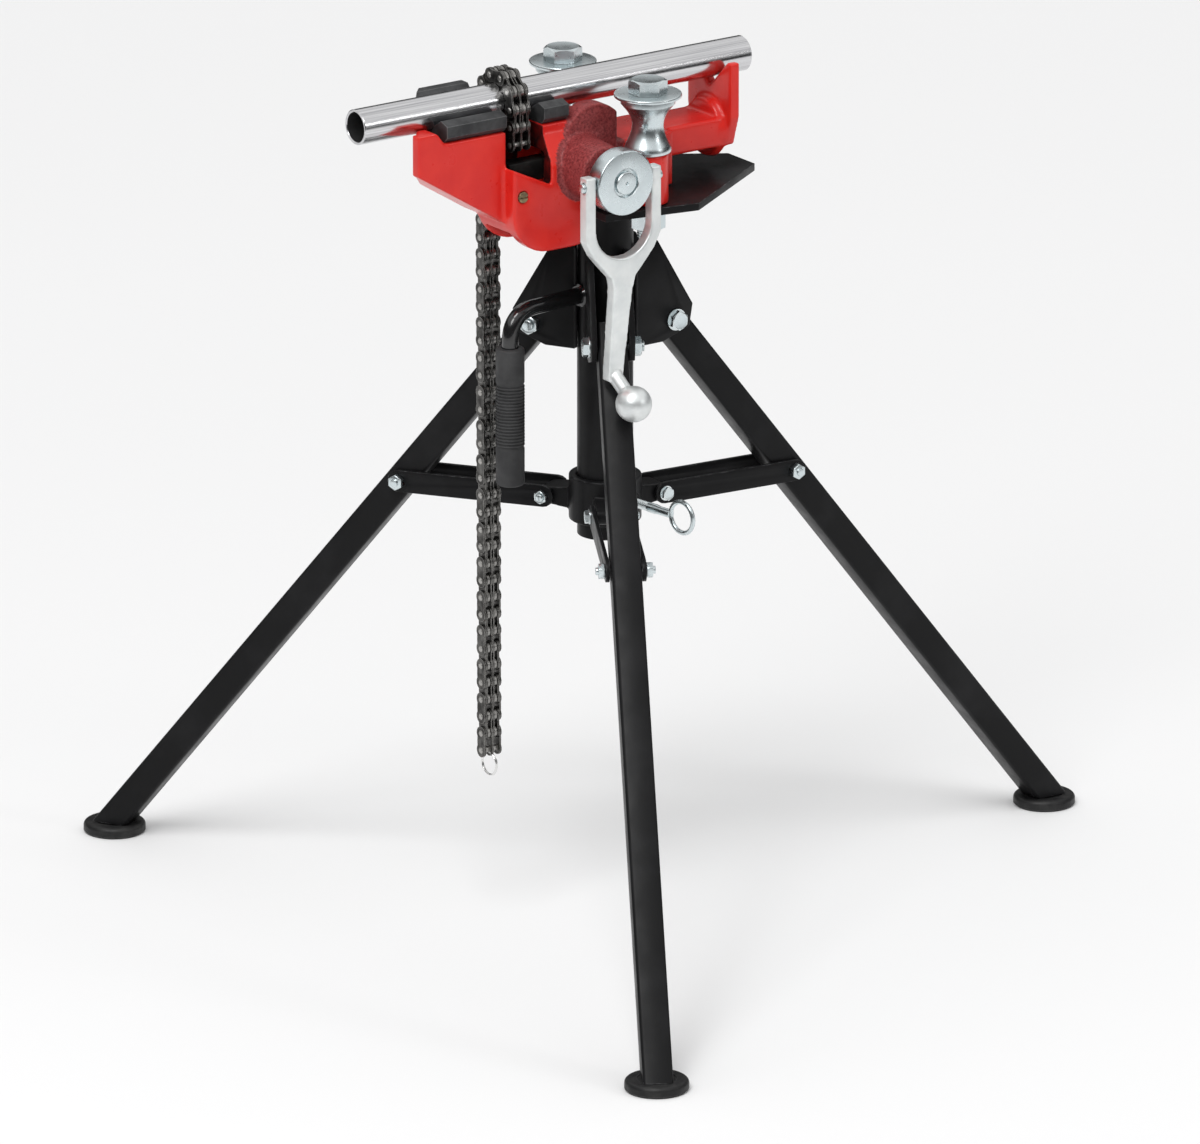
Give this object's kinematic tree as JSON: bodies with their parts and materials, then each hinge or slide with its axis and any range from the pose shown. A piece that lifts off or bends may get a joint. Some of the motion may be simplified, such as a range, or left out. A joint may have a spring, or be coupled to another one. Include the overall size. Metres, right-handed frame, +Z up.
{
  "type": "tripod pipe stand with chain vise",
  "caption": "Folding tripod pipe stand with a crank-tightened chain vise, V jaws, two bending rollers, a rear pipe rest and a carry handle.",
  "frame": {"origin": "centre of the bounding box on the floor, so the column axis is at Y = -0.1475", "axes": "+X towards the crank and across the widest spread of the feet, +Y along the pipe towards the rear rest, +Z up"},
  "size_m": [1.0898, 0.953, 0.9588],
  "materials": {
    "red_enamel": "enamel over a rough casting",
    "black_paint": "satin",
    "pad_rubber": "matte",
    "grip_rubber": "matte",
    "dark_steel": "phosphated",
    "bright_wire": "polished",
    "chain_steel": "oiled",
    "pipe_chrome": "polished",
    "handle_zinc": "zinc plated",
    "zinc_plate": "zinc plated"
  },
  "bodies": {
    "stand": {"column_tube": "black_paint", "top_plate": "black_paint", "gusset_rear_a": "black_paint", "gusset_rear_b": "black_paint", "gusset_front_a": "black_paint", "gusset_front_b": "black_paint", "gusset_left_a": "black_paint", "gusset_left_b": "black_paint", "leg_pivot_rear": "zinc_plate", "leg_pivot_front": "zinc_plate", "leg_pivot_left": "zinc_plate", "vise_base": "red_enamel", "near_jaw": "dark_steel", "far_jaw": "dark_steel", "anchor_screw": "zinc_plate", "chain_over_pipe": "chain_steel", "carry_rod": "black_paint", "handle_grip": "grip_rubber", "roller_washer_front": "zinc_plate", "roller_bolt_front": "zinc_plate", "roller_nut_front": "zinc_plate", "roller_washer_back": "zinc_plate", "roller_bolt_back": "zinc_plate", "roller_nut_back": "zinc_plate"},
    "leg_rear": {"leg_rear": "black_paint", "foot_pad_rear": "pad_rubber"},
    "leg_front": {"leg_front": "black_paint", "foot_pad_front": "pad_rubber"},
    "leg_left": {"leg_left": "black_paint", "foot_pad_left": "pad_rubber"},
    "collar": {"collar": "black_paint", "lug_bolt_rear": "zinc_plate", "lug_bolt_front": "zinc_plate", "lug_bolt_left": "zinc_plate"},
    "brace_rear": {"brace_rear_a": "black_paint", "brace_rear_b": "black_paint", "brace_bolt_rear_a": "zinc_plate", "brace_bolt_rear_b": "zinc_plate"},
    "brace_front": {"brace_front_a": "black_paint", "brace_front_b": "black_paint", "brace_bolt_front_a": "zinc_plate", "brace_bolt_front_b": "zinc_plate"},
    "brace_left": {"brace_left_a": "black_paint", "brace_left_b": "black_paint", "brace_bolt_left_a": "zinc_plate", "brace_bolt_left_b": "zinc_plate"},
    "thumb_screw": {"thumb_screw": "zinc_plate"},
    "bend_roller_front": {"bend_roller_front": "zinc_plate"},
    "bend_roller_back": {"bend_roller_back": "zinc_plate"},
    "crank_hub": {"crank_hub": "zinc_plate", "crank_hinge_pin": "zinc_plate"},
    "crank_handle": {"crank_handle": "handle_zinc"},
    "draw_yoke": {"draw_yoke": "dark_steel"},
    "chain_tail_1": {"chain_tail_1": "chain_steel"},
    "chain_tail_2": {"chain_tail_2": "chain_steel"},
    "chain_tail_3": {"chain_tail_3": "chain_steel"},
    "chain_ring": {"chain_ring": "bright_wire"},
    "work_pipe": {"work_pipe": "pipe_chrome"}
  },
  "joints": [
    {"name": "leg_rear_fold", "type": "hinge", "parent": "stand", "child": "leg_rear", "pos_m": [0, -0.0715, 0.65], "axis": [-1, 0, 0], "range_deg": [0, 29]},
    {"name": "leg_front_fold", "type": "hinge", "parent": "stand", "child": "leg_front", "pos_m": [0.06582, -0.1855, 0.65], "axis": [0.5, 0.866, 0], "range_deg": [0, 29]},
    {"name": "leg_left_fold", "type": "hinge", "parent": "stand", "child": "leg_left", "pos_m": [-0.06582, -0.1855, 0.65], "axis": [0.5, -0.866, 0], "range_deg": [0, 29]},
    {"name": "collar_slide", "type": "slide", "parent": "stand", "child": "collar", "axis": [0, 0, 1], "range_m": [0, 0.10398]},
    {"name": "brace_rear_swing", "type": "hinge", "parent": "collar", "child": "brace_rear", "pos_m": [0, -0.0835, 0.458], "axis": [-1, 0, 0], "range_deg": [0, 69.19]},
    {"name": "brace_front_swing", "type": "hinge", "parent": "collar", "child": "brace_front", "pos_m": [0.05543, -0.1795, 0.458], "axis": [0.5, 0.866, 0], "range_deg": [0, 69.19]},
    {"name": "brace_left_swing", "type": "hinge", "parent": "collar", "child": "brace_left", "pos_m": [-0.05543, -0.1795, 0.458], "axis": [0.5, -0.866, 0], "range_deg": [0, 69.19]},
    {"name": "thumb_screw_turn", "type": "hinge", "parent": "collar", "child": "thumb_screw", "pos_m": [0.05942, -0.13915, 0.464], "axis": [0.9903, 0.1392, 0], "range_deg": [0, 720]},
    {"name": "bend_roller_front_spin", "type": "hinge", "parent": "stand", "child": "bend_roller_front", "pos_m": [0.078, -0.1475, 0.892], "axis": [0, 0, 1], "continuous": true},
    {"name": "bend_roller_back_spin", "type": "hinge", "parent": "stand", "child": "bend_roller_back", "pos_m": [-0.078, -0.1475, 0.892], "axis": [0, 0, 1], "continuous": true},
    {"name": "crank_spin", "type": "hinge", "parent": "stand", "child": "crank_hub", "pos_m": [0.1225, -0.214, 0.851], "axis": [1, 0, 0], "range_deg": [-720, 720]},
    {"name": "crank_handle_lift", "type": "hinge", "parent": "crank_hub", "child": "crank_handle", "pos_m": [0.1225, -0.214, 0.851], "axis": [0, -1, 0], "range_deg": [0, 95]},
    {"name": "draw_yoke_slide", "type": "slide", "parent": "stand", "child": "draw_yoke", "axis": [1, 0, 0], "range_m": [-0.006, 0.006]},
    {"name": "chain_tail_1_swing", "type": "hinge", "parent": "stand", "child": "chain_tail_1", "pos_m": [-0.0278, -0.2795, 0.88], "axis": [0, 1, 0], "range_deg": [0, 6]},
    {"name": "chain_tail_2_swing", "type": "hinge", "parent": "chain_tail_1", "child": "chain_tail_2", "pos_m": [-0.0278, -0.2795, 0.6514], "axis": [0, 1, 0], "range_deg": [-5, 6]},
    {"name": "chain_tail_3_swing", "type": "hinge", "parent": "chain_tail_2", "child": "chain_tail_3", "pos_m": [-0.0278, -0.2795, 0.4228], "axis": [0, 1, 0], "range_deg": [-12, 6]},
    {"name": "chain_ring_swing", "type": "hinge", "parent": "chain_tail_3", "child": "chain_ring", "pos_m": [-0.0278, -0.2795, 0.1932], "axis": [0, 1, 0], "range_deg": [-50, 50]},
    {"name": "work_pipe_slide", "type": "slide", "parent": "stand", "child": "work_pipe", "axis": [0, 1, 0], "range_m": [-0.08, 0.1]}
  ],
  "couplings": [
    {"joint": "leg_front_fold", "follows": "leg_rear_fold", "ratio": 1},
    {"joint": "leg_left_fold", "follows": "leg_rear_fold", "ratio": 1},
    {"joint": "collar_slide", "follows": "leg_rear_fold", "m_per_rad": 0.20544},
    {"joint": "brace_rear_swing", "follows": "leg_rear_fold", "ratio": 2.3858},
    {"joint": "brace_front_swing", "follows": "leg_rear_fold", "ratio": 2.3858},
    {"joint": "brace_left_swing", "follows": "leg_rear_fold", "ratio": 2.3858},
    {"joint": "draw_yoke_slide", "follows": "crank_spin", "m_per_rad": -0.00047699}
  ]
}
